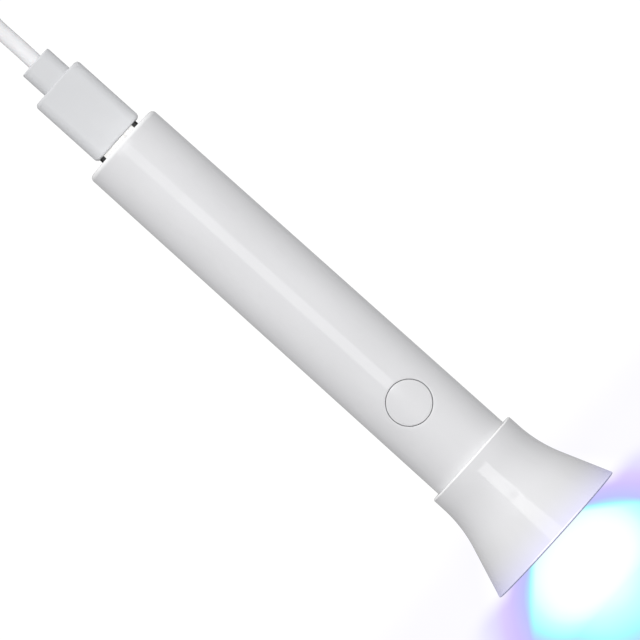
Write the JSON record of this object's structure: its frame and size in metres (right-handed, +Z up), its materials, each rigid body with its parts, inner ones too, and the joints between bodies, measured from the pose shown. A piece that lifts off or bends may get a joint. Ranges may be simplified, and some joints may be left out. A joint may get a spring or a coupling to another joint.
{
  "type": "uv curing lamp",
  "caption": "Hand-held UV curing lamp: slim white tube with a flared head, a flush push button on its side and a detachable USB lead at its tail.",
  "frame": {"origin": "centre of the lamp's bounding box without its lead, on the surface that the lamp lies on", "axes": "+X from the tail to the flared head, +Z up through the button, +Y to the side; the lamp's own axis rises by 3.7 degrees towards the head, because it lies on its rim and its tail edge"},
  "size_m": [0.2445, 0.0564, 0.0379],
  "materials": {
    "white_shell": "satin moulded white",
    "white_button": "satin moulded white",
    "reflector_coating": "vacuum-metallised",
    "clear_window": "clear polished",
    "led_board_white": "white solder mask on aluminium",
    "led_ceramic": "ceramic package",
    "led_silicone": "clear silicone, lit violet",
    "thermal_pad": "soft pad",
    "sink_aluminium": "turned",
    "screw_steel": "zinc plated",
    "board_laminate": "green solder mask",
    "ferrite": "ferrite",
    "chip_black": "moulded black",
    "can_aluminium": "drawn can",
    "resistor_black": "black with tinned ends",
    "lead_red": "insulation",
    "lead_black": "insulation",
    "socket_steel": "nickel plated",
    "socket_plastic": "white insulator",
    "contact_gold": "gold plated",
    "switch_black": "moulded black",
    "switch_grey": "moulded grey",
    "grip_grey": "soft moulded grip",
    "plug_steel": "nickel plated",
    "plug_plastic": "white insulator",
    "cord_jacket": "smooth white jacket",
    "tie_fabric": "woven hook-and-loop strap"
  },
  "bodies": {
    "lamp": {"tube_body": "white_shell", "flare_head": "white_shell", "reflector": "reflector_coating", "lens_window": "clear_window", "led_board": "led_board_white", "uv_leds": "led_ceramic", "led_domes": "led_silicone", "thermal_pad": "thermal_pad", "heat_sink": "sink_aluminium", "led_board_screws": "screw_steel", "driver_board": "board_laminate", "driver_inductor": "ferrite", "driver_chips": "chip_black", "driver_capacitors": "can_aluminium", "driver_resistors": "resistor_black", "led_lead_red": "lead_red", "led_lead_black": "lead_black", "usb_socket_shell": "socket_steel", "usb_socket_tongue": "socket_plastic", "usb_socket_contacts": "contact_gold", "tact_switch": "switch_black"},
    "button": {"button_cap": "white_button", "tact_plunger": "switch_grey"},
    "usb_lead": {"plug_grip": "grip_grey", "plug_shell": "plug_steel", "plug_tongue": "plug_plastic", "plug_contacts": "contact_gold", "strain_relief": "grip_grey", "cord_run": "cord_jacket", "cord_coil": "cord_jacket", "cord_tail": "cord_jacket", "cord_tie": "tie_fabric", "far_plug_grip": "grip_grey", "far_plug_shell": "plug_steel", "far_plug_tongue": "plug_plastic", "far_plug_contacts": "contact_gold", "far_strain_relief": "grip_grey"}
  },
  "joints": [
    {"name": "button_press", "type": "slide", "parent": "lamp", "child": "button", "axis": [0.0647, 0, -0.9979], "range_m": [0, 0.00045], "stiffness_N_per_m": 2000, "springref_m": -0.0003},
    {"name": "plug_pull", "type": "slide", "parent": "lamp", "child": "usb_lead", "axis": [-0.9979, 0, -0.0647], "range_m": [0, 0.014]}
  ]
}
